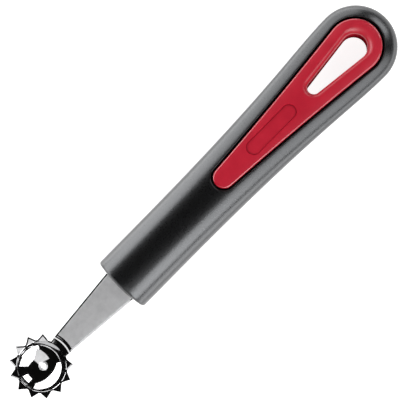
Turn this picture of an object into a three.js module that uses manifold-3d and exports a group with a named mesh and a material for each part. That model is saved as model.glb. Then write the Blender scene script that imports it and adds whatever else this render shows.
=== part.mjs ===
// Tomato corer: a toothed steel scoop on a flat shank, held in a handle with red inlays and an eye.
// Millimetres. +X runs from the scoop to the round end of the handle and +Z is up, out of the
// face with the scoop's mouth. The origin is under the middle of the tool, level with its lowest point.
import * as THREE from 'three';
import { mergeVertices } from 'three/addons/utils/BufferGeometryUtils.js';
import Module from 'manifold-3d';

const wasm = await Module();
wasm.setup();

// Handle, measured along X from the crown of its front face
const handleLength = 127;
const gripWidth = 20.7;
const gripThickness = 18.8;
const gripStraight = 18; // where the sides start to spread
const thinningFrom = 14; // where the faces start to draw together
const endWidth = 28;
const endThickness = 12.8;
const frontCrown = 1; // bulge of the front face
const frontEdge = 0.9; // rounding between the front face and the sides
const sectionPower = 2.3; // 2 is an ellipse, more is squarer
const spreadLead = 0.68; // how long the sides hold the grip's width as they spread
const spreadTail = 0.16; // how soon they come to the end's width
const skinThickness = 2.2;

// Inlay on each face, a long drop with its wide end round the end of the handle
const inlayTip = 47; // from the front of the handle to the narrow end
const inlayTipRadius = 3.6;
const inlayEndRadius = 9.15;
const inlayEndMargin = 5.5; // from the inlay to the end of the handle
const inlaySag = 0.35; // how far its long sides draw in
const inlayGap = 0.8; // shadow gap to the skin round it
const pegRadius = 1.8;
const pegLength = 3;

// Shallow recess with round ends in the front inlay, bare and flat on its floor
const recessFrom = 62.2;
const recessLength = 21.5;
const recessWidth = 5;
const recessDepth = 0.4;

// Hanging eye through the handle, a smaller drop lined by sleeves of the inlays
const eyeEndMargin = 10.4; // from the eye to the end of the handle
const eyeLength = 25.8;
const eyeTipRadius = 2.2;
const eyeEndRadius = 4.45;
const eyeFlare = 1.7; // how far the mouth of the eye opens out
const eyeFlareReach = 2; // how much further it opens at the wide end
const eyeNeck = 1.2; // half the height of the straight throat
const sleeveWall = 1.8;

// Core inside the handle, hollowed under the inlays
const coreWall = 1.6;
const coreWeb = 2;
const coreRib = 2;
const coreCells = 3;

// Blade, one sheet pressed to a scoop, neck, shank and hidden tang
const sheetThickness = 1;
const bowlReach = 37.5; // from the front of the handle to the axis of the scoop
const bowlRadius = 8.75; // at the lip
const bowlSphere = 11.3;
const drainRadius = 0.9;
const drainSink = 0.7; // how much wider the drain hole is inside the bowl
const flareAngle = THREE.MathUtils.degToRad(20);
const lipBend = 0.2; // half length of the bend from bowl to flare
const neckStart = 10.2; // where the flare steps up to the plane of the shank
const neckEnd = 12;
const neckRise = 1;
const neckBend = 0.45;
const toothCount = 11;
const neckTeeth = 2; // places in the ring of teeth that the neck takes up
const toothRootRadius = 8.95;
const toothTipRadius = 10.9;
const toothTipFlat = 0.2;
const toothRootFlat = 0.6;
const neckWidth = 7;
const shankWidth = 12.4; // where it goes into the handle
const tangLength = 48;
const tangEndWidth = 8;
const tangCorner = 2;
const anchorRadius = 2.4;
const anchorPlaces = [16, 36]; // from the front of the handle

const fitClearance = 0.3;

// Fineness of the round forms
const sectionSides = 32;
const sideSteps = 9;
const endSteps = 7;
const edgeSteps = 3;
const dropSteps = 6;
const flareSteps = 5;
const bowlSteps = 4;
const crownShare = 0.6; // place of the ring between the crown and the edge of the front face
const facetsPerTooth = 5;
const roundSides = 20;

// Places worked out from the sizes above
const endCentre = handleLength - endWidth / 2;
const farOut = handleLength;
const inlayDrop = {
  tip: inlayTip + inlayTipRadius,
  tipRadius: inlayTipRadius,
  end: handleLength - inlayEndMargin - inlayEndRadius,
  endRadius: inlayEndRadius,
  sag: inlaySag,
};
const eyeEnd = handleLength - eyeEndMargin - eyeEndRadius;
const eyeStart = handleLength - eyeEndMargin - eyeLength;
const eyeDrop = {
  tip: eyeStart + eyeTipRadius,
  tipRadius: eyeTipRadius,
  end: eyeEnd,
  endRadius: eyeEndRadius,
  sag: 0,
};
const mouthDrop = {
  tip: eyeDrop.tip,
  tipRadius: eyeTipRadius + eyeFlare,
  end: eyeEnd + eyeFlareReach,
  endRadius: eyeEndRadius + eyeFlare,
  sag: 0,
};
const coreInset = skinThickness + fitClearance;

// Solids from closed geometries, and back
function solid(geometry) {
  geometry.deleteAttribute('normal');
  geometry.deleteAttribute('uv');
  const merged = mergeVertices(geometry, 1e-4);
  return new wasm.Manifold(new wasm.Mesh({
    numProp: 3,
    vertProperties: new Float32Array(merged.attributes.position.array),
    triVerts: new Uint32Array(merged.index.array),
  }));
}

function mesh(name, body, colour, roughness, metalness) {
  const data = body.getMesh();
  const geometry = new THREE.BufferGeometry();
  geometry.setAttribute('position', new THREE.BufferAttribute(new Float32Array(data.vertProperties), 3));
  geometry.setIndex(new THREE.BufferAttribute(new Uint32Array(data.triVerts), 1));
  geometry.computeVertexNormals();
  const material = new THREE.MeshStandardMaterial({ color: colour, roughness, metalness });
  const piece = new THREE.Mesh(geometry, material);
  piece.name = name;
  return piece;
}

// A skin through rings of equally many points, closed at each end on one point
function loft(rings, first, last) {
  const sides = rings[0].length;
  const points = [...rings.flat(), first, last];
  const firstIndex = points.length - 2;
  const lastIndex = points.length - 1;
  const faces = [];
  for (let side = 0; side < sides; side++) {
    const next = (side + 1) % sides;
    for (let ring = 0; ring < rings.length - 1; ring++) {
      const low = ring * sides;
      const high = low + sides;
      faces.push(low + side, low + next, high + next, low + side, high + next, high + side);
    }
    const top = (rings.length - 1) * sides;
    faces.push(firstIndex, next, side, lastIndex, top + side, top + next);
  }
  const geometry = new THREE.BufferGeometry().setFromPoints(points);
  geometry.setIndex(faces);
  return solid(geometry);
}

function prism(shape, from, to) {
  const options = { depth: to - from, bevelEnabled: false, curveSegments: dropSteps };
  return solid(new THREE.ExtrudeGeometry(shape, options).translate(0, 0, from));
}

function post(x, radius, from, to) {
  const geometry = new THREE.CylinderGeometry(radius, radius, to - from, roundSides);
  return solid(geometry.rotateX(Math.PI / 2).translate(x, 0, (from + to) / 2));
}

// Plan of a drop: a small round end and a large one, joined by long sides that may draw in
function drop(form, grow) {
  const tipRadius = form.tipRadius + grow;
  const endRadius = form.endRadius + grow;
  const lean = Math.acos((form.tipRadius - form.endRadius) / (form.end - form.tip));
  const along = Math.cos(lean);
  const across = Math.sin(lean);
  const pullX = (form.tip + form.end + (tipRadius + endRadius) * along) / 2 - 2 * form.sag * along;
  const pullY = ((tipRadius + endRadius) * across) / 2 - 2 * form.sag * across;
  const shape = new THREE.Shape();
  shape.absarc(form.end, 0, endRadius, -lean, lean, false);
  shape.quadraticCurveTo(pullX, pullY, form.tip + tipRadius * along, tipRadius * across);
  shape.absarc(form.tip, 0, tipRadius, lean, 2 * Math.PI - lean, false);
  shape.quadraticCurveTo(pullX, -pullY, form.end + endRadius * along, -endRadius * across);
  return shape;
}

// Handle
function halfThickness(x) {
  const share = THREE.MathUtils.smoothstep(x, thinningFrom, endCentre);
  return THREE.MathUtils.lerp(gripThickness, endThickness, share) / 2;
}

function sideCurve(halfGrip, endRadius) {
  const spread = endCentre - gripStraight;
  return new THREE.CubicBezierCurve(
    new THREE.Vector2(gripStraight, halfGrip),
    new THREE.Vector2(gripStraight + spreadLead * spread, halfGrip),
    new THREE.Vector2(endCentre - spreadTail * spread, endRadius),
    new THREE.Vector2(endCentre, endRadius),
  );
}

function squared(value) {
  return Math.sign(value) * Math.abs(value) ** (2 / sectionPower);
}

function section(x, halfWidth, halfHeight) {
  const ring = [];
  for (let side = 0; side < sectionSides; side++) {
    const angle = (side / sectionSides) * 2 * Math.PI;
    const y = halfWidth * squared(Math.cos(angle));
    const z = halfHeight * squared(Math.sin(angle));
    ring.push(new THREE.Vector3(x, y, z));
  }
  return ring;
}

// Form of the whole handle, or of what lies a given depth inside it
function handleForm(inset) {
  const halfGrip = gripWidth / 2 - inset;
  const halfGripHeight = gripThickness / 2 - inset;
  const endRadius = endWidth / 2 - inset;
  const endHeight = endThickness / 2 - inset;
  const rings = [];
  const faceX = inset + frontCrown;
  rings.push(section(
    inset + frontCrown * crownShare ** 2,
    (halfGrip - frontEdge) * crownShare,
    (halfGripHeight - frontEdge) * crownShare,
  ));
  for (let step = 0; step <= edgeSteps; step++) {
    const turn = (step / edgeSteps) * (Math.PI / 2);
    const x = faceX + frontEdge * (1 - Math.cos(turn));
    const short = frontEdge * (1 - Math.sin(turn));
    rings.push(section(x, halfGrip - short, halfGripHeight - short));
  }
  rings.push(section(thinningFrom, halfGrip, halfGripHeight));
  for (const point of sideCurve(halfGrip, endRadius).getPoints(sideSteps)) {
    rings.push(section(point.x, point.y, halfThickness(point.x) - inset));
  }
  for (let step = 1; step < endSteps; step++) {
    const turn = (step / endSteps) * (Math.PI / 2);
    const height = endHeight * (1 - Math.sin(turn) ** sectionPower) ** (1 / sectionPower);
    rings.push(section(endCentre + endRadius * Math.sin(turn), endRadius * Math.cos(turn), height));
  }
  return loft(rings, new THREE.Vector3(inset, 0, 0), new THREE.Vector3(endCentre + endRadius, 0, 0));
}

// Height of the handle's face over a point of the plan round the eye
function faceHeight(x, y) {
  const rounded = (share) => (1 - Math.min(share, 1) ** sectionPower) ** (1 / sectionPower);
  const past = Math.max(x - endCentre, 0) / (endWidth / 2);
  const points = sideCurve(gripWidth / 2, endWidth / 2).getPoints(sideSteps);
  const next = Math.max(points.findIndex((point) => point.x >= x), 1);
  const share = (x - points[next - 1].x) / (points[next].x - points[next - 1].x);
  const side = THREE.MathUtils.lerp(points[next - 1].y, points[next].y, share);
  const half = past > 0 ? (endWidth / 2) * Math.sqrt(1 - past ** 2) : side;
  return halfThickness(x) * rounded(past) * rounded(Math.abs(y) / half);
}

// Blade, drawn round the axis of the scoop
// Half section of the pressed sheet: bowl from its drain hole, lip, flare, step up to the shank
function sheetSection(outerRadius) {
  const flare = new THREE.Vector2(Math.cos(flareAngle), Math.sin(flareAngle));
  const rimAngle = Math.asin(bowlRadius / Math.hypot(bowlSphere, lipBend)) - Math.atan2(lipBend, bowlSphere);
  const stepFoot = new THREE.Vector2(neckStart, -neckRise);
  const lip = stepFoot.clone().addScaledVector(flare, (bowlRadius - neckStart) / flare.x);
  const centreZ = lip.y - lipBend * Math.sin(rimAngle) + bowlSphere * Math.cos(rimAngle);
  const flareStart = lip.clone().addScaledVector(flare, lipBend);
  const lowPull = stepFoot.clone().addScaledVector(flare, neckBend);
  const highPull = new THREE.Vector2(neckEnd - neckBend, 0);
  const stepMiddle = lowPull.clone().lerp(highPull, 0.5);
  const down = -Math.PI / 2;
  const holeAngle = Math.asin((drainRadius + drainSink / 2) / bowlSphere);
  const line = new THREE.Path();
  line.absarc(0, centreZ, bowlSphere, down + holeAngle, down + rimAngle, false);
  line.quadraticCurveTo(lip.x, lip.y, flareStart.x, flareStart.y);
  line.lineTo(stepFoot.x, stepFoot.y);
  line.quadraticCurveTo(lowPull.x, lowPull.y, stepMiddle.x, stepMiddle.y);
  line.quadraticCurveTo(highPull.x, highPull.y, neckEnd, 0);
  line.lineTo(outerRadius, 0);
  const middle = line.getPoints(bowlSteps);
  const inner = [];
  const outer = [];
  middle.forEach((point, index) => {
    const before = middle[Math.max(index - 1, 0)];
    const after = middle[Math.min(index + 1, middle.length - 1)];
    const along = after.clone().sub(before).normalize();
    const half = new THREE.Vector2(-along.y, along.x).multiplyScalar(sheetThickness / 2);
    inner.push(point.clone().add(half));
    outer.push(point.clone().sub(half));
  });
  outer[0].x = drainRadius;
  inner[0].x = drainRadius + drainSink;
  return [...outer, ...inner.reverse(), outer[0].clone()];
}

// Side of the neck where it leaves the ring of teeth
function neckCorner() {
  const half = neckWidth / 2;
  return new THREE.Vector2(Math.sqrt(toothRootRadius ** 2 - half ** 2), half);
}

// Plan of neck, shank and tang from one side round to the other, widened for the slot that takes it
function drawShank(shape, grow) {
  const corner = neckCorner();
  const half = shankWidth / 2 + grow;
  const endHalf = tangEndWidth / 2 + grow;
  const end = bowlReach + tangLength + grow;
  shape.lineTo(corner.x, -corner.y - grow);
  shape.lineTo(bowlReach, -half);
  shape.lineTo(end - tangCorner, -endHalf);
  shape.quadraticCurveTo(end, -endHalf, end, tangCorner - endHalf);
  shape.lineTo(end, endHalf - tangCorner);
  shape.quadraticCurveTo(end, endHalf, end - tangCorner, endHalf);
  shape.lineTo(bowlReach, half);
  shape.lineTo(corner.x, corner.y + grow);
}

// Plan of the whole sheet: pointed teeth round the scoop, with the neck in place of some of them
function bladeOutline() {
  const pitch = (2 * Math.PI) / (toothCount + neckTeeth);
  const rootHalf = pitch / 2 - toothRootFlat / 2 / toothRootRadius;
  const tipHalf = toothTipFlat / 2 / toothTipRadius;
  const corner = neckCorner();
  const shape = new THREE.Shape();
  const to = (radius, angle) => shape.lineTo(radius * Math.cos(angle), radius * Math.sin(angle));
  shape.moveTo(corner.x, corner.y);
  for (let tooth = 0; tooth < toothCount; tooth++) {
    const middle = Math.PI + (tooth - (toothCount - 1) / 2) * pitch;
    to(toothRootRadius, middle - rootHalf);
    to(toothTipRadius, middle - tipHalf);
    to(toothTipRadius, middle + tipHalf);
    to(toothRootRadius, middle + rootHalf);
  }
  drawShank(shape, 0);
  for (const place of anchorPlaces) {
    const hole = new THREE.Path();
    hole.absarc(bowlReach + place, 0, anchorRadius, 0, 2 * Math.PI, true);
    shape.holes.push(hole);
  }
  return shape;
}

function makeBlade() {
  const turns = (toothCount + neckTeeth) * facetsPerTooth;
  const sheetRadius = bowlReach + tangLength + shankWidth;
  const pressed = new THREE.LatheGeometry(sheetSection(sheetRadius), turns).rotateX(Math.PI / 2);
  return solid(pressed).intersect(prism(bladeOutline(), -farOut, farOut));
}

// Room that the tang takes up inside the handle
function tangSlot() {
  const half = sheetThickness / 2 + fitClearance;
  const shape = new THREE.Shape();
  drawShank(shape, fitClearance);
  return prism(shape, -half, half).translate([-bowlReach, 0, 0]);
}

// Core that grips the tang with posts through its holes
function makeCore() {
  let core = handleForm(coreInset).subtract(tangSlot());
  const postHalf = sheetThickness / 2 + 2 * fitClearance;
  for (const place of anchorPlaces) {
    core = core.add(post(place, anchorRadius - fitClearance, -postHalf, postHalf));
  }
  core = core.subtract(prism(drop(eyeDrop, sleeveWall + fitClearance), -farOut, farOut));
  const seat = halfThickness(inlayDrop.tip) - skinThickness;
  const cellsFrom = Math.max(tangLength, inlayDrop.tip + pegRadius) + fitClearance + coreWall;
  const cellsTo = eyeStart - sleeveWall - fitClearance - coreWall;
  const cellLength = (cellsTo - cellsFrom - coreRib * (coreCells - 1)) / coreCells;
  for (const face of [1, -1]) {
    const out = face * farOut;
    const deep = face * (coreWeb / 2);
    const floor = face * (seat - pegLength - fitClearance);
    const socket = post(inlayDrop.tip, pegRadius + fitClearance, Math.min(floor, out), Math.max(floor, out));
    const hollow = prism(drop(inlayDrop, -coreWall), Math.min(deep, out), Math.max(deep, out));
    core = core.subtract(socket);
    for (let cell = 0; cell < coreCells; cell++) {
      const centre = cellsFrom + cell * (cellLength + coreRib) + cellLength / 2;
      const box = new THREE.BoxGeometry(cellLength, endWidth, 3 * farOut).translate(centre, 0, 0);
      core = core.subtract(hollow.intersect(solid(box)));
    }
  }
  return core;
}

// Soft skin over the core, with a window for each inlay and a slot for the shank
function makeSkin() {
  const shell = handleForm(0).subtract(handleForm(skinThickness));
  return shell.subtract(prism(drop(inlayDrop, inlayGap), -farOut, farOut)).subtract(tangSlot());
}

// Inlay with a peg under its narrow end and half of the sleeve that lines the eye
function makeInlay() {
  const shell = handleForm(0).subtract(handleForm(skinThickness));
  const plate = shell.intersect(prism(drop(inlayDrop, 0), 0, farOut));
  const seam = fitClearance / 2;
  const under = halfThickness(inlayDrop.tip) - skinThickness;
  const peg = post(inlayDrop.tip, pegRadius, under - pegLength, under + skinThickness / 2);
  const sleeve = handleForm(0).intersect(prism(drop(eyeDrop, sleeveWall), seam, farOut));
  return plate.add(peg).add(sleeve).subtract(eyeMouth());
}

// Room inside the eye above the middle of the handle: a straight throat that flares to the face
function eyeMouth() {
  const rings = [];
  const addRing = (share, height) => {
    const form = { sag: 0 };
    for (const key of ['tip', 'tipRadius', 'end', 'endRadius']) {
      form[key] = THREE.MathUtils.lerp(eyeDrop[key], mouthDrop[key], share);
    }
    const points = drop(form, 0).getPoints(dropSteps);
    points.pop();
    rings.push(points.map((point) => new THREE.Vector3(point.x, point.y, height(point))));
  };
  addRing(0, () => -eyeNeck);
  for (let step = 0; step <= flareSteps; step++) {
    const turn = (step / flareSteps) * (Math.PI / 2);
    const rise = Math.sin(turn);
    const height = (point) => THREE.MathUtils.lerp(eyeNeck, faceHeight(point.x, point.y), rise);
    addRing(1 - Math.cos(turn), height);
  }
  addRing(1, () => gripThickness);
  const middle = (eyeDrop.tip + eyeDrop.end) / 2;
  return loft(rings, new THREE.Vector3(middle, 0, -eyeNeck), new THREE.Vector3(middle, 0, gripThickness));
}

// Room above the flat floor of the recess, which slopes with the face of the handle
function recessRoom() {
  const radius = recessWidth / 2;
  const reach = recessLength / 2 - radius;
  const start = halfThickness(recessFrom);
  const end = halfThickness(recessFrom + recessLength);
  const shape = new THREE.Shape();
  shape.absarc(reach, 0, radius, -Math.PI / 2, Math.PI / 2, false);
  shape.absarc(-reach, 0, radius, Math.PI / 2, (3 * Math.PI) / 2, false);
  const slope = Math.atan2(start - end, recessLength);
  const degrees = THREE.MathUtils.radToDeg(slope);
  const place = [recessFrom + recessLength / 2, 0, (start + end) / 2 - recessDepth];
  return prism(shape, 0, gripThickness).rotate([0, degrees, 0]).translate(place);
}

const blade = mesh('scoop_blade', makeBlade(), 0xc4c6c8, 0.22, 1);
blade.position.x = -bowlReach;
const core = mesh('handle_core', makeCore(), 0x1c1c1e, 0.6, 0);
const skin = mesh('grip_skin', makeSkin(), 0x232427, 0.62, 0);
const inlay = makeInlay();
const inlayFront = mesh('inlay_front', inlay.subtract(recessRoom()), 0xb5233a, 0.42, 0);
const inlayBack = mesh('inlay_back', inlay, 0xb5233a, 0.42, 0);
inlayBack.rotation.x = Math.PI;

const corer = new THREE.Group();
corer.add(blade, core, skin, inlayFront, inlayBack);
corer.position.set((bowlReach + toothTipRadius - handleLength) / 2, 0, gripThickness / 2);

const part = new THREE.Group();
part.add(corer);

export default part;
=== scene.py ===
import math

import bmesh
import bpy
from mathutils import Matrix, Vector


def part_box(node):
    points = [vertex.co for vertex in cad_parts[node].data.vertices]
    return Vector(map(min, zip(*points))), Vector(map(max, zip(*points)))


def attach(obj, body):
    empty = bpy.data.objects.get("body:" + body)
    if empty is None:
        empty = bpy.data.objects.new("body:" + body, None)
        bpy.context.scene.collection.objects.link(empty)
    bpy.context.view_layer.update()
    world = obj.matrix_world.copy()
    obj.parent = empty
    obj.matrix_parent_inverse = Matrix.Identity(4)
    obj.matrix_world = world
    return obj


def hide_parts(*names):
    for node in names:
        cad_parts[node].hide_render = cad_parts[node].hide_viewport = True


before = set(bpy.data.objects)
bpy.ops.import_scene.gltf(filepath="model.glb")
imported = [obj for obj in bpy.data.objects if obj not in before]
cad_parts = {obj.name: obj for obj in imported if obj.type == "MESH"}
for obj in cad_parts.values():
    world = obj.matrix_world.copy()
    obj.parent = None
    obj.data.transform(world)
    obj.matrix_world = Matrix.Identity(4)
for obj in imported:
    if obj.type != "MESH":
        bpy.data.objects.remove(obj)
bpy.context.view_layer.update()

mm = 0.001
weld = 0.001 * mm  # points closer than this are one
halvings = 40  # rounds of halving that find a place on a curve
settleRounds = 20  # rounds after which a place that depends on itself stands still

# handle: sizes along its length count from the crown of the front face, heights from its middle
handle = {
    "length": 127 * mm,
    "gripWidth": 20.7 * mm,
    "gripThickness": 18.8 * mm,
    "gripStraight": 18 * mm,
    "thinningFrom": 14 * mm,
    "endWidth": 28 * mm,
    "endThickness": 12.8 * mm,
    "frontCrown": 1 * mm,
    "frontEdge": 0.9 * mm,
    "squareness": 2.3,  # 2 is an ellipse
    "spreadLead": 0.68,  # how long the sides hold the grip's width as they spread
    "spreadTail": 0.16,  # how soon they come to the end's width
}
endCentre = handle["length"] - handle["endWidth"] / 2
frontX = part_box("grip_skin")[1].x - handle["length"]
middleZ = (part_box("grip_skin")[0].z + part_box("grip_skin")[1].z) / 2


def mix(a, b, share):
    return a + (b - a) * share


def halfHeight(u):
    share = (u - handle["thinningFrom"]) / (endCentre - handle["thinningFrom"])
    share = min(max(share, 0), 1)
    return mix(handle["gripThickness"], handle["endThickness"], share * share * (3 - 2 * share)) / 2


def halfWidth(u):
    start = handle["gripStraight"]
    narrow = handle["gripWidth"] / 2
    wide = handle["endWidth"] / 2
    if u <= start:
        return narrow
    if u >= endCentre:
        return wide
    lead = start + handle["spreadLead"] * (endCentre - start)
    tail = endCentre - handle["spreadTail"] * (endCentre - start)
    low, high = 0, 1
    for step in range(halvings):
        t = (low + high) / 2
        s = 1 - t
        at = s ** 3 * start + 3 * s ** 2 * t * lead + 3 * s * t * t * tail + t ** 3 * endCentre
        low, high = (t, high) if at < u else (low, t)
    return mix(narrow, wide, t * t * (3 - 2 * t))


# height of the handle's face over a point of its plan, or of the form that lies inset below it
def faceZ(u, y, inset=0):
    power = handle["squareness"]
    width = halfWidth(u) - inset
    height = halfHeight(u) - inset
    if u > endCentre:
        share = min((u - endCentre) / width, 1)
        height *= (1 - share ** power) ** (1 / power)
        width *= math.sqrt(1 - share * share)
    if abs(y) >= width:
        return 0
    return height * (1 - (abs(y) / width) ** power) ** (1 / power)


# one ring of a squared ellipse across the tool, from +Y over the top
def squareRing(u, width, height, squareness, count):
    bend = 2 / squareness
    ring = []
    for step in range(count):
        turn = 2 * math.pi * step / count
        c, s = math.cos(turn), math.sin(turn)
        y = math.copysign(abs(c) ** bend, c) * width
        z = math.copysign(abs(s) ** bend, s) * height
        ring.append((u, y, z))
    return ring


def sectionRing(u, width, height, count):
    return squareRing(u, width, height, handle["squareness"], count)


# outlines are lists of plan points; every stretch leaves out its own last point
def arc(centre, radius, start, stop, count):
    turns = [mix(start, stop, step / count) for step in range(count)]
    return [(centre + radius * math.cos(turn), radius * math.sin(turn)) for turn in turns]


def straight(a, b, count):
    return [(mix(a[0], b[0], step / count), mix(a[1], b[1], step / count)) for step in range(count)]


def sagging(a, pull, b, start, stop, count):
    points = []
    for step in range(count):
        t = mix(start, stop, step / count)
        s = 1 - t
        points.append(tuple(s ** 2 * a[i] + 2 * s * t * pull[i] + t * t * b[i] for i in (0, 1)))
    return points


# a drop in six stretches: low side in two, wide end, high side in two, narrow end
def dropStretches(form, grow, counts, split=0.0):
    tip, end = form["tip"], form["end"]
    tipRadius, endRadius = form["tipRadius"] + grow, form["endRadius"] + grow
    lean = math.acos((form["tipRadius"] - form["endRadius"]) / (end - tip))
    c, s = math.cos(lean), math.sin(lean)
    sag = form.get("sag", 0)
    near = (tip + tipRadius * c, tipRadius * s)
    far = (end + endRadius * c, endRadius * s)
    pull = ((near[0] + far[0]) / 2 - 2 * sag * c, (near[1] + far[1]) / 2 - 2 * sag * s)
    ahead, behind, wide, nose = counts
    highFar = sagging(far, pull, near, 0, 1 - split, behind)
    highNear = sagging(far, pull, near, 1 - split, 1, ahead)
    nearLow, farLow, pullLow = (near[0], -near[1]), (far[0], -far[1]), (pull[0], -pull[1])
    lowNear = sagging(nearLow, pullLow, farLow, 0, split, ahead)
    lowFar = sagging(nearLow, pullLow, farLow, split, 1, behind)
    wideEnd = arc(end, endRadius, -lean, lean, wide)
    narrowEnd = arc(tip, tipRadius, lean, 2 * math.pi - lean, nose)
    return lowNear, lowFar, wideEnd, highFar, highNear, narrowEnd


# meshes are gathered as grids whose shared borders weld together
def newShape():
    return {"points": [], "faces": [], "finishes": []}


def addGrid(shape, rows, closed=True, finish=0):
    first = len(shape["points"])
    count = len(rows[0])
    for row in rows:
        shape["points"].extend((frontX + u, y, middleZ + z) for u, y, z in row)
    for row in range(len(rows) - 1):
        for step in range(count if closed else count - 1):
            a = first + row * count + step
            b = first + row * count + (step + 1) % count
            shape["faces"].append((a, b, b + count, a + count))
            shape["finishes"].append(finish)


# rows of plan points from one outline to another, lifted by a height over the plan; ease crowds the rows
# towards the other outline
def addRing(shape, outline, other, rowCount, height, ease=1.0):
    rows = []
    for row in range(rowCount + 1):
        share = 1 - (1 - row / rowCount) ** ease
        plan = [(mix(p[0], q[0], share), mix(p[1], q[1], share)) for p, q in zip(outline, other)]
        rows.append([(u, y, height(u, y)) for u, y in plan])
    addGrid(shape, rows)


def makePiece(name, node, shape, materials, sharpAngle=35):
    mesh = bpy.data.meshes.new(name)
    mesh.from_pydata(shape["points"], [], shape["faces"])
    mesh.polygons.foreach_set("material_index", shape["finishes"])
    work = bmesh.new()
    work.from_mesh(mesh)
    bmesh.ops.remove_doubles(work, verts=work.verts, dist=weld)
    bmesh.ops.dissolve_degenerate(work, edges=work.edges, dist=weld)
    bmesh.ops.recalc_face_normals(work, faces=work.faces)
    openEdges = sum(1 for edge in work.edges if not edge.is_manifold)
    work.to_mesh(mesh)
    work.free()
    mesh.shade_smooth()
    mesh.set_sharp_from_angle(angle=math.radians(sharpAngle))
    for material in materials:
        mesh.materials.append(material)
    piece = bpy.data.objects.new(name, mesh)
    bpy.context.scene.collection.objects.link(piece)
    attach(piece, "root")
    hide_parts(node)
    print(name, len(mesh.polygons), "faces,", openEdges, "open edges")
    return piece


# materials
def newMaterial(name):
    material = bpy.data.materials.new(name)
    material.use_nodes = True
    tree = material.node_tree
    return material, tree, tree.nodes["Principled BSDF"]


def addNode(tree, kind, **settings):
    node = tree.nodes.new(kind)
    for key, value in settings.items():
        if key in node.inputs:
            node.inputs[key].default_value = value
        else:
            setattr(node, key, value)
    return node


# scale is in noise cells to a metre
def addNoise(tree, scale, detail, stretch=(1, 1, 1)):
    place = addNode(tree, "ShaderNodeTexCoord")
    squeeze = addNode(tree, "ShaderNodeMapping", Scale=stretch)
    noise = addNode(tree, "ShaderNodeTexNoise", Scale=scale, Detail=detail)
    tree.links.new(place.outputs["Object"], squeeze.inputs["Vector"])
    tree.links.new(squeeze.outputs["Vector"], noise.inputs["Vector"])
    return noise.outputs["Fac"]


noiseLow, noiseHigh = 0.3, 0.7  # nearly all of a noise lies between these


def addRange(tree, source, low, high, fromLow=noiseLow, fromHigh=noiseHigh):
    spread = addNode(tree, "ShaderNodeMapRange")
    for key, value in (("From Min", fromLow), ("From Max", fromHigh), ("To Min", low), ("To Max", high)):
        spread.inputs[key].default_value = value
    tree.links.new(source, spread.inputs["Value"])
    return spread.outputs["Result"]


def addTint(tree, source, dark, light):
    ramp = addNode(tree, "ShaderNodeValToRGB")
    for stop, place, colour in zip(ramp.color_ramp.elements, (noiseLow, noiseHigh), (dark, light)):
        stop.position = place
        stop.color = (*colour, 1)
    tree.links.new(source, ramp.inputs["Fac"])
    return ramp.outputs["Color"]


def addBump(tree, shader, source, strength, distance):
    bump = addNode(tree, "ShaderNodeBump", Strength=strength, Distance=distance)
    tree.links.new(source, bump.inputs["Height"])
    tree.links.new(bump.outputs["Normal"], shader.inputs["Normal"])


softBlack = {
    "dark": (0.0005, 0.0005, 0.0006),
    "light": (0.001, 0.001, 0.0011),
    "specular": 0.98,
    "roughLow": 0.26,
    "roughHigh": 0.34,
    "tint": (0.95, 0.97, 1.0),  # its shine is slightly blue
    "cloud": (160, 2),  # scale and detail of its noise
    "grain": (2300, 2),
    "grainDepth": 0.05 * mm,
    "bump": 0.35,
}


def makeSoftBlack():
    material, tree, shader = newMaterial("softBlackGrip")
    cloud = addNoise(tree, *softBlack["cloud"])
    grain = addNoise(tree, *softBlack["grain"])
    tint = addTint(tree, cloud, softBlack["dark"], softBlack["light"])
    tree.links.new(tint, shader.inputs["Base Color"])
    shader.inputs["Specular IOR Level"].default_value = softBlack["specular"]
    shader.inputs["Specular Tint"].default_value = (*softBlack["tint"], 1)
    rough = addRange(tree, grain, softBlack["roughLow"], softBlack["roughHigh"])
    tree.links.new(rough, shader.inputs["Roughness"])
    addBump(tree, shader, grain, softBlack["bump"], softBlack["grainDepth"])
    return material


# the red inlay has a finish each for its face, the eye's mouth, its outer rim and the eye's throat, which
# the wall of the recess shares
redParts = ("face", "mouth", "rim", "throat")
redPlastic = {
    "dark": (0.425, 0.0105, 0.027),
    "light": (0.485, 0.0145, 0.033),
    "specular": {"face": 0.5, "mouth": 0.6, "rim": 1.0, "throat": 0.0},
    "rough": {
        "face": (0.30, 0.38),
        "mouth": (0.34, 0.42),
        "rim": (0.12, 0.17),
        "throat": (0.5, 0.6),
    },
    "paintedShadeReach": 0.9 * mm,  # painted shade: inner corners, the recess and the eye's throat are darkened this far out
    "paintedShadeLevel": 0.2,
    "paintedShadeRange": (0.5, 0.95),  # openness of a deep corner and of a flat face
    "cloud": (220, 4),
    "grain": (3800, 2),
    "grainDepth": 0.012 * mm,
    "bump": 0.2,
}


def makeRedPlastic(part):
    material, tree, shader = newMaterial("redInlay" + part.capitalize())
    shader.inputs["Specular IOR Level"].default_value = redPlastic["specular"][part]
    cloud = addNoise(tree, *redPlastic["cloud"])
    grain = addNoise(tree, *redPlastic["grain"])
    tint = addTint(tree, cloud, redPlastic["dark"], redPlastic["light"])
    # painted shade: ambient occlusion darkens the base colour in inner corners, standing in for the shade
    # that falls there
    reach = redPlastic["paintedShadeReach"]
    cornerOcclusion = addNode(tree, "ShaderNodeAmbientOcclusion", Distance=reach, only_local=True)
    depth = addRange(tree, cornerOcclusion.outputs["AO"], redPlastic["paintedShadeLevel"], 1, *redPlastic["paintedShadeRange"])
    shaded = addNode(tree, "ShaderNodeVectorMath", operation="SCALE")
    tree.links.new(tint, shaded.inputs[0])
    tree.links.new(depth, shaded.inputs["Scale"])
    tree.links.new(shaded.outputs["Vector"], shader.inputs["Base Color"])
    rough = addRange(tree, grain, *redPlastic["rough"][part])
    tree.links.new(rough, shader.inputs["Roughness"])
    addBump(tree, shader, grain, redPlastic["bump"], redPlastic["grainDepth"])
    return material


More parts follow.
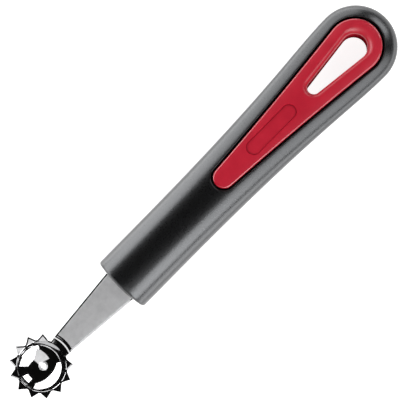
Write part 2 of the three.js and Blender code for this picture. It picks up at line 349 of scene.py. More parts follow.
# the scoop is polished and the shank satin
steelParts = ("polished", "satin")
steel = {
    "polishDark": (0.70, 0.70, 0.71),
    "polishLight": (0.78, 0.78, 0.79),
    "polishRough": (0.045, 0.075),
    "polishCloud": (700, 3),
    "satinDark": (0.74, 0.74, 0.75),
    "satinLight": (0.84, 0.84, 0.85),
    "satinRough": (0.46, 0.56),
    "satinCloud": (400, 3),
    "grainStretch": (0.06, 1, 1),  # brushed along the shank
    "grain": (9000, 3),
    "grainDepth": 0.01 * mm,
    "bump": 0.5,
}


def makePolishedSteel():
    material, tree, shader = newMaterial("polishedSteel")
    cloud = addNoise(tree, *steel["polishCloud"])
    shader.inputs["Metallic"].default_value = 1
    tint = addTint(tree, cloud, steel["polishDark"], steel["polishLight"])
    tree.links.new(tint, shader.inputs["Base Color"])
    tree.links.new(addRange(tree, cloud, *steel["polishRough"]), shader.inputs["Roughness"])
    return material


def makeSatinSteel():
    material, tree, shader = newMaterial("satinSteel")
    cloud = addNoise(tree, *steel["satinCloud"])
    grain = addNoise(tree, *steel["grain"], steel["grainStretch"])
    shader.inputs["Metallic"].default_value = 1
    tint = addTint(tree, cloud, steel["satinDark"], steel["satinLight"])
    tree.links.new(tint, shader.inputs["Base Color"])
    tree.links.new(addRange(tree, grain, *steel["satinRough"]), shader.inputs["Roughness"])
    addBump(tree, shader, grain, steel["bump"], steel["grainDepth"])
    return material


coreBlack = {
    "dark": (0.003, 0.003, 0.003),
    "light": (0.006, 0.006, 0.006),
    "rough": (0.55, 0.7),
    "cloud": (900, 3),
    "cloudDepth": 0.02 * mm,
    "bump": 0.2,
}


def makeCoreBlack():
    material, tree, shader = newMaterial("coreBlack")
    cloud = addNoise(tree, *coreBlack["cloud"])
    tint = addTint(tree, cloud, coreBlack["dark"], coreBlack["light"])
    tree.links.new(tint, shader.inputs["Base Color"])
    tree.links.new(addRange(tree, cloud, *coreBlack["rough"]), shader.inputs["Roughness"])
    addBump(tree, shader, cloud, coreBlack["bump"], coreBlack["cloudDepth"])
    return material


gripBlack = makeSoftBlack()
redInlay = [makeRedPlastic(part) for part in redParts]
bladeSteel = [makePolishedSteel(), makeSatinSteel()]
print("materials made")

# drops on the face: the inlay, its window in the skin and the eye
inlay = {
    "tip": 50.6 * mm,
    "tipRadius": 3.6 * mm,
    "end": 112.35 * mm,
    "endRadius": 9.15 * mm,
    "sag": 0.35 * mm,
    "gap": 0.8 * mm,  # shadow gap to the skin
    "edge": 0.5 * mm,  # rounding of its rim
    "split": 0.56,  # share of its sides ahead of the eye
    "seam": 0.15 * mm,  # half the joint between the two inlays
    "pegRadius": 1.8 * mm,
    "pegLength": 3 * mm,
    "pegCorner": math.radians(30),  # where the grid's corners fall on the peg
    "counts": (30, 34, 60, 24),  # points ahead of and behind the split, round the wide and narrow ends
    "plateRows": 14,
    "rimSteps": 6,
    "underRows": {"peg": 8, "sleeve": 6},
    "pegRows": 2,
}
eye = {
    "tip": 93 * mm,
    "tipRadius": 2.2 * mm,
    "end": 112.15 * mm,
    "endRadius": 4.45 * mm,
    "mouthDepth": 2.8 * mm,  # the rounding of its mouth reaches this far down
    "wall": 1.8 * mm,
    "flareSteps": 14,
}
eyeMouth = {
    "tip": 93 * mm,
    "tipRadius": 3.9 * mm,
    "end": 114.15 * mm,
    "endRadius": 6.15 * mm,
}
recess = {
    "front": 64.7 * mm,  # centres of its round ends
    "rear": 81.2 * mm,
    "radius": 2.5 * mm,
    "depth": 0.4 * mm,
    "edge": 0.22 * mm,
    "edgeSteps": 4,
    "floorRows": 6,
}

# grip skin: a shell with a slot in front and a window on each face
grip = {
    "skin": 2.2 * mm,
    "rim": 0.3 * mm,  # rounding of the window's edge
    "slotWidth": 13 * mm,
    "slotHeight": 1.6 * mm,
    "slotSquareness": 9,
    "windowFrom": 43 * mm,  # the skin is whole ahead of this
    "around": 96,
    "sideCount": 64,
    "endCount": 60,
    "rows": 22,
    "faceRows": 12,  # from the slot to the edge of the front face
    "edgeSteps": 6,
    "frontRows": 24,  # from that edge to where the window starts
    "rimSteps": 5,
}


def slotRing(u):
    width, height = grip["slotWidth"] / 2, grip["slotHeight"] / 2
    return squareRing(u, width, height, grip["slotSquareness"], grip["around"])


# the nose of the skin, from the slot over the crowned face and its edge to where the window starts
def addNose(shape, inset):
    width = handle["gripWidth"] / 2 - inset
    height = handle["gripThickness"] / 2 - inset
    edge, power = handle["frontEdge"], handle["squareness"]
    faceRing = sectionRing(0, width - edge, height - edge, grip["around"])
    rows = []
    for row in range(grip["faceRows"] + 1):
        share = row / grip["faceRows"]
        line = []
        for p, q in zip(slotRing(0), faceRing):
            y, z = mix(p[1], q[1], share), mix(p[2], q[2], share)
            out = (abs(y) / (width - edge)) ** power + (abs(z) / (height - edge)) ** power
            line.append((inset + handle["frontCrown"] * out ** (2 / power), y, z))
        rows.append(line)
    slotLine = rows[0]
    for step in range(1, grip["edgeSteps"] + 1):
        turn = math.pi / 2 * step / grip["edgeSteps"]
        short = edge * (1 - math.sin(turn))
        at = inset + handle["frontCrown"] + edge * (1 - math.cos(turn))
        rows.append(sectionRing(at, width - short, height - short, grip["around"]))
    start = inset + handle["frontCrown"] + edge
    for step in range(1, grip["frontRows"] + 1):
        at = mix(start, grip["windowFrom"], step / grip["frontRows"])
        rows.append(sectionRing(at, halfWidth(at) - inset, halfHeight(at) - inset, grip["around"]))
    addGrid(shape, rows)
    return slotLine


# where the upper and lower halves of the skin meet, then back over the top where the window part starts
def halfOutline(inset):
    start = grip["windowFrom"]
    ways = [mix(start, endCentre, step / grip["sideCount"]) for step in range(grip["sideCount"] + 1)]
    low = [(u, inset - halfWidth(u)) for u in ways[:-1]]
    high = [(u, halfWidth(u) - inset) for u in reversed(ways[1:])]
    end = arc(endCentre, handle["endWidth"] / 2 - inset, -math.pi / 2, math.pi / 2, grip["endCount"])
    over = sectionRing(start, halfWidth(start) - inset, 1, grip["around"])[: grip["around"] // 2]
    return low + end + high + [(u, y) for u, y, z in over]


def windowOutline(grow):
    counts = (0, grip["sideCount"], grip["endCount"], grip["around"] // 2)
    return sum(dropStretches(inlay, inlay["gap"] + grow, counts), [])


def makeGripSkin():
    shape = newShape()
    skin, rim, ease = grip["skin"], grip["rim"], handle["squareness"]
    outerSlot = addNose(shape, 0)
    innerSlot = addNose(shape, skin)
    addGrid(shape, [outerSlot, innerSlot])
    for face in (1, -1):
        outside = lambda u, y: face * faceZ(u, y)
        inside = lambda u, y: face * faceZ(u, y, skin)
        addRing(shape, windowOutline(rim), halfOutline(0), grip["rows"], outside, ease)
        addRing(shape, windowOutline(0), halfOutline(skin), grip["rows"], inside, ease)
        rows = []
        for step in range(grip["rimSteps"] + 1):
            turn = math.pi / 2 * step / grip["rimSteps"]
            drop = rim * (1 - math.cos(turn))
            line = windowOutline(rim * (1 - math.sin(turn)))
            rows.append([(u, y, face * (faceZ(u, y) - drop)) for u, y in line])
        rows.append([(u, y, inside(u, y)) for u, y in windowOutline(0)])
        addGrid(shape, rows)
    return makePiece("gripSkin", "grip_skin", shape, [gripBlack])


# inlays: plate, rounded rim, half of the eye's sleeve and a peg under the narrow end
def eyeOutline(grow):
    ahead, behind, wide, nose = inlay["counts"]
    return sum(dropStretches(eye, grow, (0, behind, wide, nose)), [])


# the eye's wall, from its neck at 0 to its wide mouth at 1
def flareOutline(share):
    form = {key: mix(eye[key], eyeMouth[key], share) for key in eyeMouth}
    ahead, behind, wide, nose = inlay["counts"]
    return sum(dropStretches(form, 0, (0, behind, wide, nose)), [])


def recessOutline(radius):
    ahead, behind, wide, nose = inlay["counts"]
    front, rear = recess["front"], recess["rear"]
    return (
        straight((rear, radius), (front, radius), ahead)
        + arc(front, radius, math.pi / 2, 3 * math.pi / 2, nose)
        + straight((front, -radius), (rear, -radius), ahead)
        + arc(rear, radius, -math.pi / 2, math.pi / 2, nose)
    )


def pegOutline(radius):
    ahead, behind, wide, nose = inlay["counts"]
    corner = inlay["pegCorner"]
    turns = ((corner, math.pi / 2, ahead), (math.pi / 2, 3 * math.pi / 2, nose))
    turns += ((3 * math.pi / 2, 2 * math.pi - corner, ahead), (-corner, corner, nose))
    return sum((arc(inlay["tip"], radius, start, stop, count) for start, stop, count in turns), [])


# the plate's outline, and its two parts ahead of and behind a line across it
def plateOutlines(grow):
    nose = inlay["counts"][3]
    lowNear, lowFar, wideEnd, highFar, highNear, narrowEnd = dropStretches(
        inlay, grow, inlay["counts"], inlay["split"]
    )
    whole = lowNear + lowFar + wideEnd + highFar + highNear + narrowEnd
    ahead = highNear + narrowEnd + lowNear + straight(lowFar[0], highNear[0], nose)
    behind = lowFar + wideEnd + highFar + straight(highNear[0], lowFar[0], nose)
    return whole, ahead, behind


def recessFloor(u, y):
    front, rear = recess["front"] - recess["radius"], recess["rear"] + recess["radius"]
    share = (u - front) / (rear - front)
    return mix(halfHeight(front), halfHeight(rear), share) - recess["depth"]


def addRecess(shape):
    rows = []
    for step in range(recess["edgeSteps"] + 1):
        turn = math.pi / 2 * step / recess["edgeSteps"]
        drop = recess["edge"] * (1 - math.cos(turn))
        line = recessOutline(recess["radius"] + recess["edge"] * (1 - math.sin(turn)))
        rows.append([(u, y, faceZ(u, y) - drop) for u, y in line])
    rows.append([(u, y, recessFloor(u, y)) for u, y in recessOutline(recess["radius"])])
    addGrid(shape, rows, finish=redParts.index("throat"))
    addRing(shape, recessOutline(recess["radius"]), recessOutline(0), recess["floorRows"], recessFloor)


def makeInlay(name, node, face):
    shape = newShape()
    edge = inlay["edge"]
    under = lambda u, y: faceZ(u, y, grip["skin"])
    top, topAhead, topBehind = plateOutlines(-edge)
    bottom, bottomAhead, bottomBehind = plateOutlines(0)
    hasRecess = face > 0
    hole = recessOutline(recess["radius"] + recess["edge"]) if hasRecess else recessOutline(0)
    addRing(shape, topAhead, hole, inlay["plateRows"], faceZ)
    addRing(shape, topBehind, flareOutline(1), inlay["plateRows"], faceZ)
    if hasRecess:
        addRecess(shape)
    rows = []
    for step in range(inlay["rimSteps"] + 1):
        turn = math.pi / 2 * step / inlay["rimSteps"]
        line = plateOutlines(-edge * (1 - math.sin(turn)))[0]
        rows.append([(u, y, faceZ(u, y) - edge * (1 - math.cos(turn))) for u, y in line])
    rows.append([(u, y, under(u, y)) for u, y in bottom])
    addGrid(shape, rows, finish=redParts.index("rim"))
    # underside, peg and sleeve
    peg = pegOutline(inlay["pegRadius"])
    pegFoot = under(inlay["tip"], 0) - inlay["pegLength"]
    addRing(shape, bottomAhead, peg, inlay["underRows"]["peg"], under)
    addRing(shape, bottomBehind, eyeOutline(eye["wall"]), inlay["underRows"]["sleeve"], under)
    addGrid(shape, [[(u, y, under(u, y)) for u, y in peg], [(u, y, pegFoot) for u, y in peg]])
    addRing(shape, peg, pegOutline(0), inlay["pegRows"], lambda u, y: pegFoot)
    rows = [[(u, y, under(u, y)) for u, y in eyeOutline(eye["wall"])]]
    rows.append([(u, y, inlay["seam"]) for u, y in eyeOutline(eye["wall"])])
    rows.append([(u, y, inlay["seam"]) for u, y in eyeOutline(0)])
    throatEnd = len(rows)
    for step in range(eye["flareSteps"] + 1):
        turn = math.pi / 2 * step / eye["flareSteps"]
        line = flareOutline(1 - math.cos(turn))
        rows.append([(u, y, faceZ(u, y) - eye["mouthDepth"] * (1 - math.sin(turn))) for u, y in line])
    addGrid(shape, rows[: throatEnd + 1], finish=redParts.index("throat"))
    addGrid(shape, rows[throatEnd:], finish=redParts.index("mouth"))
    if face < 0:
        shape["points"] = [(x, -y, 2 * middleZ - z) for x, y, z in shape["points"]]
    return makePiece(name, node, shape, redInlay)


# blade: places in its plan count from the axis of the scoop
blade = {
    "sheet": 1 * mm,
    "reach": 37.5 * mm,  # from the scoop's axis to the front of the handle
    "bowlRadius": 8.75 * mm,  # at the lip
    "bowlSphere": 11.3 * mm,
    "lipBend": 0.08 * mm,  # rounding of the lip's crest
    "drainRadius": 0.9 * mm,
    "drainMouth": 1.6 * mm,  # its countersink, as radius and depth
    "drainSink": 0.45 * mm,
    "flare": math.radians(20),  # slope of the teeth
    "stepFrom": 10.2 * mm,  # the neck steps up to the shank
    "stepTo": 12 * mm,
    "stepRise": 1 * mm,
    "stepBend": 0.45 * mm,
    "teeth": 11,
    "neckTeeth": 2,  # places in the ring of teeth that the neck takes up
    "toothRoot": 8.95 * mm,
    "toothTip": 10.89 * mm,
    "rootFlat": 0.6 * mm,  # between two teeth
    "neckWidth": 7 * mm,
    "shankWidth": 12.4 * mm,
    "tang": 48 * mm,
    "tangEndWidth": 8 * mm,
    "tangCorner": 2 * mm,
    "holes": (16 * mm, 36 * mm),
    "holeRadius": 2.4 * mm,
    "bevel": 0.5 * mm,  # the sheet's edges are eased by this much, on both faces
    "toothBevelDrop": 0.185 * mm,  # how far an eased edge falls off, on the teeth and on the shank
    "shankBevelDrop": 0.13 * mm,
    "satinFrom": 12.2 * mm,  # where the polish ends
    "crown": 0.25 * mm,  # the shank's faces are this much lower at its sides
    "crownLead": 6 * mm,
    "mitreLimit": 0.5,  # keeps the eased edge from running far out at a sharp corner
    "sharpAngle": 15,  # in degrees, steeper creases stay sharp
    "ringStep": 0.04 * mm,  # least distance of the bowl's rings in plan
    "bowlSteps": 44,
    "flareSteps": 8,
    "bendSteps": 10,
    "crestSteps": 8,
    "toothColumns": 16,
    "toothRows": 16,
    "toothCrowding": 1.8,  # rows of a tooth crowd towards its root
    "flatColumns": 3,
    "neckColumns": 36,
    "neckPast": 0.8 * mm,  # rows follow the scoop's circles this far past the step
    "neckRows": 40,
    "straightening": 6 * mm,  # and turn straight over this length
    "shankRows": 30,
    "tangRows": 6,
}


def along(point, turn, way):
    return (point[0] + way * math.cos(turn), point[1] + way * math.sin(turn))


# middle line of the pressed sheet as radius and height, from the drain hole to the tip of a tooth, or over
# the step of the neck to the flat shank
def sheetLine(stepped):
    sphere, radius = blade["bowlSphere"], blade["bowlRadius"]
    flare, stepBend = blade["flare"], blade["stepBend"]
    stepFoot, stepTop = (blade["stepFrom"], -blade["stepRise"]), (blade["stepTo"], 0)
    lip = (radius, stepFoot[1] - (stepFoot[0] - radius) * math.tan(flare))
    rimTurn = math.asin(radius / sphere)
    centreZ = lip[1] + sphere * math.cos(rimTurn)
    lowPull, highPull = along(stepFoot, flare, stepBend), (stepTop[0] - stepBend, 0)
    stepMiddle = ((lowPull[0] + highPull[0]) / 2, (lowPull[1] + highPull[1]) / 2)
    holeTurn = math.asin(blade["drainRadius"] / sphere)
    line = []
    for step in range(blade["bowlSteps"]):
        turn = mix(holeTurn, rimTurn, step / blade["bowlSteps"])
        line.append((sphere * math.sin(turn), centreZ - sphere * math.cos(turn)))
    line += straight(lip, stepFoot, blade["flareSteps"])
    if not stepped:
        past = blade["toothTip"] - stepFoot[0] + blade["sheet"]
        return line + [stepFoot, along(stepFoot, flare, past)]
    line += sagging(stepFoot, lowPull, stepMiddle, 0, 1, blade["bendSteps"])
    line += sagging(stepMiddle, highPull, stepTop, 0, 1, blade["bendSteps"])
    return line + [stepTop, (blade["reach"] + blade["tang"], 0)]


# the sheet's two faces, with a small rounding along the crest of the lip
def sheetFaces(stepped):
    line = [Vector(point) for point in sheetLine(stepped)]
    upper, lower = [], []
    for step, here in enumerate(line):
        ahead = (line[min(step + 1, len(line) - 1)] - line[min(step, len(line) - 2)]).normalized()
        back = (line[max(step, 1)] - line[max(step - 1, 0)]).normalized()
        way = (ahead + back).normalized()
        half = way * (blade["sheet"] / 2 / way.dot(ahead))
        crest = (here.x - half.y, here.y + half.x)
        if abs(here.x - blade["bowlRadius"]) < weld:
            bend = blade["lipBend"]
            before = (crest[0] - bend * back.x, crest[1] - bend * back.y)
            after = (crest[0] + bend * ahead.x, crest[1] + bend * ahead.y)
            upper += sagging(before, crest, after, 0, 1, blade["crestSteps"]) + [after]
        else:
            upper.append(crest)
        lower.append((here.x + half.y, here.y - half.x))
    return upper, lower


def heightOn(line, radius):
    for a, b in zip(line, line[1:]):
        if radius <= b[0]:
            return mix(a[1], b[1], (radius - a[0]) / (b[0] - a[0]))
    return line[-1][1]


# the plan's grid ends inside the bevelled edges, so its outline is drawn in by the bevel
def drawnRoot():
    return blade["toothRoot"] - blade["bevel"]


def toothMiddles():
    pitch = 2 * math.pi / (blade["teeth"] + blade["neckTeeth"])
    return [math.pi + (tooth - (blade["teeth"] - 1) / 2) * pitch for tooth in range(blade["teeth"])]


# half the width of a drawn-in tooth at a distance from the scoop's axis, and where that comes to nothing
def toothFlank():
    pitch = 2 * math.pi / (blade["teeth"] + blade["neckTeeth"])
    half = pitch / 2 - blade["rootFlat"] / 2 / blade["toothRoot"]
    foot, side = polar(blade["toothRoot"], half)
    slope = -side / (blade["toothTip"] - foot)
    inset = blade["bevel"] * math.hypot(1, slope)
    return (lambda out: side - inset + slope * (out - foot)), foot + (inset - side) / slope


def toothHalf():
    flank = toothFlank()[0]
    out = drawnRoot()
    for step in range(settleRounds):
        out = math.sqrt(drawnRoot() ** 2 - flank(out) ** 2)
    return math.atan2(flank(out), out)


def shankHalf(x):
    start = math.sqrt(blade["toothRoot"] ** 2 - blade["neckWidth"] ** 2 / 4)
    spread = (blade["shankWidth"] - blade["neckWidth"]) / 2 / (blade["reach"] - start)
    return blade["neckWidth"] / 2 + spread * (x - start) - blade["bevel"] * math.hypot(1, spread)


def neckCorner():
    x = drawnRoot()
    for step in range(settleRounds):
        x = math.sqrt(drawnRoot() ** 2 - shankHalf(x) ** 2)
    return math.atan2(shankHalf(x), x)


# directions of the grid round the scoop: teeth, the flats between them and the neck
def scoopTurns():
    half, corner = toothHalf(), neckCorner()
    stops = [corner]
    for middle in toothMiddles():
        stops += [middle - half, middle + half]
    stops += [2 * math.pi - corner, 2 * math.pi + corner]
    turns = []
    for place, (start, stop) in enumerate(zip(stops, stops[1:])):
        count = blade["toothColumns"] if place % 2 else blade["flatColumns"]
        if place == len(stops) - 2:
            count = blade["neckColumns"]
        turns += [mix(start, stop, step / count) for step in range(count)]
    return turns


def polar(radius, turn):
    return (radius * math.cos(turn), radius * math.sin(turn))


# patches of the plan are rows of points, with whether the rows close into rings
def toothPatches():
    half, tipOut = toothHalf(), toothFlank()[1]
    columns = [mix(-1, 1, step / blade["toothColumns"]) for step in range(blade["toothColumns"] + 1)]
    patches = []
    for middle in toothMiddles():
        root = [polar(drawnRoot(), middle + half * c) for c in columns]
        tip = polar(tipOut, middle)
        rows = []
        for row in range(blade["toothRows"] + 1):
            share = (row / blade["toothRows"]) ** blade["toothCrowding"]
            rows.append([(mix(a[0], tip[0], share), mix(a[1], tip[1], share)) for a in root])
        patches.append((rows, False))
    return patches


# rows across the neck follow the scoop's circles, then turn straight along the shank
def shankPatch():
    columns = [mix(-1, 1, step / blade["neckColumns"]) for step in range(blade["neckColumns"] + 1)]
    root, neckRows, shankRows = drawnRoot(), blade["neckRows"], blade["shankRows"]
    bendEnd = blade["stepTo"] + blade["neckPast"]
    places = [mix(root, bendEnd, step / neckRows) for step in range(neckRows)]
    places += [mix(bendEnd, blade["reach"], step / shankRows) for step in range(shankRows + 1)]
    rows = [[polar(root, neckCorner() * c) for c in columns]]
    for place in places[1:]:
        blend = min(max((place - bendEnd) / blade["straightening"], 0), 1)
        half = shankHalf(place)
        for step in range(settleRounds):
            side = mix(math.sqrt(place ** 2 - half ** 2), place, blend)
            half = shankHalf(side)
        ys = [half * c for c in columns]
        rows.append([(mix(math.sqrt(place ** 2 - y * y), place, blend), y) for y in ys])
    return rows, False


# the hidden tang, in two parts with a hole in each
def tangPatches():
    reach, count, bevel = blade["reach"], blade["neckColumns"], blade["bevel"]
    endHalf, corner = blade["tangEndWidth"] / 2 - bevel, blade["tangCorner"]
    end = reach + blade["tang"] - bevel
    sideEnd = end - corner
    sideHalf = lambda x: mix(shankHalf(reach), endHalf, (x - reach) / (sideEnd - reach))
    cuts = (reach, reach + sum(blade["holes"]) / 2, sideEnd)
    patches = []
    for part, hole in enumerate(blade["holes"]):
        start, stop = cuts[part], cuts[part + 1]
        a, b = sideHalf(start), sideHalf(stop)
        outer = straight((start, -a), (stop, -b), count)
        if part == 0:
            outer += straight((stop, -b), (stop, b), count)
        else:
            third = count // 3
            outer += sagging((stop, -b), (end, -b), (end, corner - b), 0, 1, third)
            outer += straight((end, corner - b), (end, b - corner), count - 2 * third)
            outer += sagging((end, b - corner), (end, b), (stop, b), 0, 1, third)
        outer += straight((stop, b), (start, a), count) + straight((start, a), (start, -a), count)
        quarter = math.pi / 4
        stops = [-3 * quarter, -quarter, quarter, 3 * quarter, 5 * quarter]
        inner = []
        for turn, nextTurn in zip(stops, stops[1:]):
            inner += arc(reach + hole, blade["holeRadius"] + bevel, turn, nextTurn, count)
        rows = []
        for row in range(blade["tangRows"] + 1):
            share = row / blade["tangRows"]
            rows.append([(mix(p[0], q[0], share), mix(p[1], q[1], share)) for p, q in zip(outer, inner)])
        patches.append((rows, True))
    return patches


# edge loops of the plan's mesh, as lists of its points
def sheetEdges(work):
    edges = {edge for edge in work.edges if edge.is_boundary}
    loops = []
    while edges:
        edge = edges.pop()
        face = edge.link_faces[0]
        loop = next(corner for corner in face.loops if corner.edge == edge)
        verts = [loop.vert, loop.link_loop_next.vert]
        while verts[-1] != verts[0]:
            following = next(e for e in verts[-1].link_edges if e in edges)
            edges.discard(following)
            verts.append(following.other_vert(verts[-1]))
        loops.append(verts[:-1])
    return loops


# the plan's outward direction at each point of a loop
def outward(loop):
    ways = []
    for step, vert in enumerate(loop):
        back = (vert.co - loop[step - 1].co).to_2d().normalized()
        ahead = (loop[(step + 1) % len(loop)].co - vert.co).to_2d().normalized()
        first, second = Vector((back.y, -back.x)), Vector((ahead.y, -ahead.x))
        middle = (first + second).normalized()
        ways.append(middle / max(middle.dot(first), blade["mitreLimit"]))
    return ways


def makeBlade():
    upper, lower = sheetFaces(True)
    teeth = sheetFaces(False)
    neckTurn = toothMiddles()[0] - toothHalf()

    # heights of the sheet's upper and lower face over a place in the plan
    def heights(place):
        onNeck = abs(math.atan2(place.y, place.x)) < neckTurn
        lead = min(max((place.x - blade["satinFrom"]) / blade["crownLead"], 0), 1)
        sink = lead * blade["crown"] * (2 * place.y / blade["shankWidth"]) ** 2
        return [heightOn(line, place.length) - sink for line in ((upper, lower) if onNeck else teeth)]

    turns = scoopTurns()
    mouth, root = blade["drainMouth"], drawnRoot()
    radii = [mouth]
    for radius in sorted(point[0] for point in upper + lower):
        if radii[-1] + blade["ringStep"] < radius < root - blade["ringStep"]:
            radii.append(radius)
    radii.append(root)
    patches = [([[polar(radius, turn) for turn in turns] for radius in radii], True)]
    patches += toothPatches() + [shankPatch()] + tangPatches()
    flat = newShape()
    for rows, closed in patches:
        addGrid(flat, [[(x, y, 0) for x, y in row] for row in rows], closed)
    plan = bmesh.new()
    verts = [plan.verts.new((point[0] - frontX, point[1], 0)) for point in flat["points"]]
    for face in flat["faces"]:
        plan.faces.new([verts[corner] for corner in face])
    bmesh.ops.remove_doubles(plan, verts=plan.verts, dist=weld)
    bmesh.ops.dissolve_degenerate(plan, edges=plan.edges, dist=weld)
    bmesh.ops.recalc_face_normals(plan, faces=plan.faces)
    if next(iter(plan.faces)).normal.z < 0:
        bmesh.ops.reverse_faces(plan, faces=plan.faces)
    shape = newShape()
    plan.verts.index_update()
    polished, satin = steelParts.index("polished"), steelParts.index("satin")
    # the shank's faces and the drain hole are satin, the rest is polished
    for side in (0, 1):
        first = len(shape["points"])
        for vert in plan.verts:
            x, y = vert.co.x - blade["reach"], vert.co.y
            shape["points"].append((frontX + x, y, middleZ + heights(vert.co.to_2d())[side]))
        for face in plan.faces:
            shape["faces"].append([first + vert.index for vert in face.verts])
            isShank = face.calc_center_median().length > blade["satinFrom"]
            shape["finishes"].append(satin if isShank else polished)
    for loop in sheetEdges(plan):
        isDrain = loop[0].co.length < mouth + blade["ringStep"]
        rows = [[], [], [], []]
        for vert, way in zip(loop, outward(loop)):
            here = vert.co.to_2d()
            high, low = heights(here)
            if isDrain:
                edge = here.normalized() * blade["drainRadius"]
                edgeHigh, edgeLow = high - blade["drainSink"], heightOn(lower, blade["drainRadius"])
            else:
                edge = here + way * blade["bevel"]
                drop = blade["shankBevelDrop" if here.x > blade["stepTo"] else "toothBevelDrop"]
                edgeHigh, edgeLow = heights(edge)
                edgeHigh, edgeLow = edgeHigh - drop, edgeLow + drop
            ends = (here, high), (edge, edgeHigh), (edge, edgeLow), (here, low)
            for row, (point, z) in zip(rows, ends):
                row.append((point.x - blade["reach"], point.y, z))
        addGrid(shape, rows, finish=satin if isDrain else polished)
    plan.free()
    return makePiece("scoopBlade", "scoop_blade", shape, bladeSteel, blade["sharpAngle"])


makeGripSkin()
makeInlay("inlayFront", "inlay_front", 1)
makeInlay("inlayBack", "inlay_back", -1)
makeBlade()
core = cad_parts["handle_core"]
core.material_slots[0].material = makeCoreBlack()
print("pieces made")

# studio: the tool lies on a pale floor with a lit panel on each side of the handle. A soft box stands on
# each side, in a front and a rear half, and one behind the round end. A dim board leans over the scoop and
# a low card stands ahead of it. It is dark overhead
studio = {
    "floorSize": 6,
    "floorLean": 1.125,  # a tangent at a quarter of the taper touches the grip and the round end
    "floorColour": (0.5, 0.5, 0.5),
    "floorRough": 0.9,
    "floorSpecular": 0.1,
    "floorGlow": 0.9,
    "ceiling": (0.004, 0.004, 0.004),
    "horizon": (0.9, 0.9, 0.9),
    "horizonHeight": 0.06,
}
softBoxes = {
    "lowSoftBox": {"x": (-1.0, 0.06), "y": 0.6, "z": (0.02, 0.55), "radiance": 4.4},
    "lowRearSoftBox": {"x": (0.06, 0.86), "y": 0.6, "z": (0.02, 0.55), "radiance": 2.2},
    "highSoftBox": {"x": (-0.66, 0.06), "y": -0.6, "z": (0.13, 0.85), "radiance": 5.0},
    "highRearSoftBox": {"x": (0.06, 0.48), "y": -0.6, "z": (0.17, 0.85), "radiance": 2.3},
    "endSoftBox": {"x": 0.7, "y": (-0.2, 0.16), "z": (0.25, 0.6), "radiance": 4.0},
}
panels = {
    "x": (-0.05, 0.3),
    "y": (0.035, 0.5),
    "lift": 1 * mm,  # off the floor
    "radiance": {"lowPanel": 2.3, "highPanel": 1.8},
}
boards = {
    "dimBoard": {
        "corners": (
            (-0.086, -0.081, 0.447),
            (-0.395, 0.023, 0.348),
            (-0.391, -0.4, 0.185),
            (-0.081, -0.248, 0.384),
        ),
        "glow": 0.62,
    },
    "lowCard": {
        "corners": ((-0.7, -0.5, 0.0), (-0.7, 0.5, 0.0), (-0.7, 0.5, 0.13), (-0.7, -0.5, 0.13)),
        "glow": 0.8,
    },
}
boardColour = (0.2, 0.2, 0.2)
boardRough = 0.9

taper = (handle["gripThickness"] - handle["endThickness"]) / 2 / (endCentre - handle["thinningFrom"])
floorSlope = studio["floorLean"] * taper


def floorZ(x):
    return middleZ - handle["endThickness"] / 2 + floorSlope * (x - frontX - endCentre)


def makeFloor():
    half = studio["floorSize"] / 2
    plan = (-half, -half), (half, -half), (half, half), (-half, half)
    corners = [(x, y, floorZ(x)) for x, y in plan]
    mesh = bpy.data.meshes.new("floor")
    mesh.from_pydata(corners, [], [(0, 1, 2, 3)])
    floor = bpy.data.objects.new("floor", mesh)
    bpy.context.scene.collection.objects.link(floor)
    material, tree, shader = newMaterial("paleFloor")
    shader.inputs["Base Color"].default_value = (*studio["floorColour"], 1)
    shader.inputs["Roughness"].default_value = studio["floorRough"]
    shader.inputs["Specular IOR Level"].default_value = studio["floorSpecular"]
    path = addNode(tree, "ShaderNodeLightPath")
    seen = addNode(tree, "ShaderNodeMath", operation="MAXIMUM")
    tree.links.new(path.outputs["Is Camera Ray"], seen.inputs[0])
    tree.links.new(path.outputs["Is Glossy Ray"], seen.inputs[1])
    also = addNode(tree, "ShaderNodeMath", operation="MAXIMUM")
    tree.links.new(seen.outputs[0], also.inputs[0])
    tree.links.new(path.outputs["Is Transmission Ray"], also.inputs[1])
    glow = addNode(tree, "ShaderNodeMath", operation="MULTIPLY")
    glow.inputs[1].default_value = studio["floorGlow"]
    tree.links.new(also.outputs[0], glow.inputs[0])
    shader.inputs["Emission Color"].default_value = (1, 1, 1, 1)
    tree.links.new(glow.outputs[0], shader.inputs["Emission Strength"])
    mesh.materials.append(material)


def addLamp(name, place, turn, width, height, radiance):
    light = bpy.data.lights.new(name, "AREA")
    light.shape = "RECTANGLE"
    light.size, light.size_y = width, height
    light.energy = radiance * math.pi * width * height
    lamp = bpy.data.objects.new(name, light)
    lamp.location, lamp.rotation_euler = place, turn
    lamp.visible_camera = False
    bpy.context.scene.collection.objects.link(lamp)


# stands upright, facing the tool, and spans the two sides that are given as pairs
def makeSoftBox(name, box):
    facesX = isinstance(box["y"], tuple)
    span = box["y"] if facesX else box["x"]
    width, height = span[1] - span[0], box["z"][1] - box["z"][0]
    middle, level = sum(span) / 2, sum(box["z"]) / 2
    if facesX:
        place, turn = (box["x"], middle, level), math.radians(90)
    else:
        place, turn = (middle, box["y"], level), 0 if box["y"] < 0 else math.radians(180)
    addLamp(name, place, (math.radians(90), 0, turn), width, height, box["radiance"])


# lies on the floor and shines up at one side of the handle
def makePanel(name, side):
    width, depth = panels["x"][1] - panels["x"][0], panels["y"][1] - panels["y"][0]
    x, y = sum(panels["x"]) / 2, side * sum(panels["y"]) / 2
    place = (x, y, floorZ(x) + panels["lift"])
    turn = (math.radians(180), -math.atan(floorSlope), 0)
    addLamp(name, place, turn, width, depth, panels["radiance"][name])


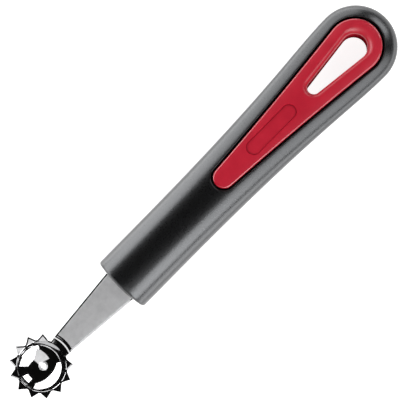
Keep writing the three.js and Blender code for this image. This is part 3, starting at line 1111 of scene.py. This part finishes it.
def makeBoard(name, board):
    mesh = bpy.data.meshes.new(name)
    mesh.from_pydata(board["corners"], [], [(0, 1, 2, 3)])
    sheet = bpy.data.objects.new(name, mesh)
    bpy.context.scene.collection.objects.link(sheet)
    material, tree, shader = newMaterial(name)
    shader.inputs["Base Color"].default_value = (*boardColour, 1)
    shader.inputs["Roughness"].default_value = boardRough
    shader.inputs["Emission Color"].default_value = (1, 1, 1, 1)
    shader.inputs["Emission Strength"].default_value = board["glow"]
    mesh.materials.append(material)
    sheet.visible_camera = False


def makeWorld():
    world = bpy.data.worlds.new("studio")
    bpy.context.scene.world = world
    world.use_nodes = True
    tree = world.node_tree
    place = addNode(tree, "ShaderNodeTexCoord")
    parts = addNode(tree, "ShaderNodeSeparateXYZ")
    tree.links.new(place.outputs["Generated"], parts.inputs["Vector"])
    fade = addRange(tree, parts.outputs["Z"], 0, 1, 0, studio["horizonHeight"])
    ramp = addNode(tree, "ShaderNodeValToRGB")
    ramp.color_ramp.elements[0].color = (*studio["horizon"], 1)
    ramp.color_ramp.elements[1].color = (*studio["ceiling"], 1)
    tree.links.new(fade, ramp.inputs["Fac"])
    tree.links.new(ramp.outputs["Color"], tree.nodes["Background"].inputs["Color"])


camera = {
    "centre": (0.5 * mm, 1.15 * mm, 9.4 * mm),  # what the middle of the picture shows
    "across": 134.2 * mm,  # width of the picture there
    "distance": 0.5,
    "tilt": math.radians(5.25),  # leans towards -Y
    "turn": math.radians(-45.43),  # the tool runs up to the right
    "sensor": 36,
}


def makeCamera():
    data = bpy.data.cameras.new("camera")
    data.sensor_width = camera["sensor"]
    data.lens = camera["sensor"] * camera["distance"] / camera["across"]
    eyePoint = bpy.data.objects.new("camera", data)
    aim = Matrix.Rotation(camera["tilt"], 3, "X") @ Matrix.Rotation(camera["turn"], 3, "Z")
    eyePoint.location = Vector(camera["centre"]) + aim @ Vector((0, 0, camera["distance"]))
    eyePoint.rotation_euler = aim.to_euler()
    bpy.context.scene.collection.objects.link(eyePoint)
    bpy.context.scene.camera = eyePoint


makeFloor()
for boxName, box in softBoxes.items():
    makeSoftBox(boxName, box)
makePanel("lowPanel", 1)
makePanel("highPanel", -1)
for boardName, board in boards.items():
    makeBoard(boardName, board)
makeWorld()
makeCamera()
bpy.context.scene.view_settings.view_transform = "Standard"
print("studio made")
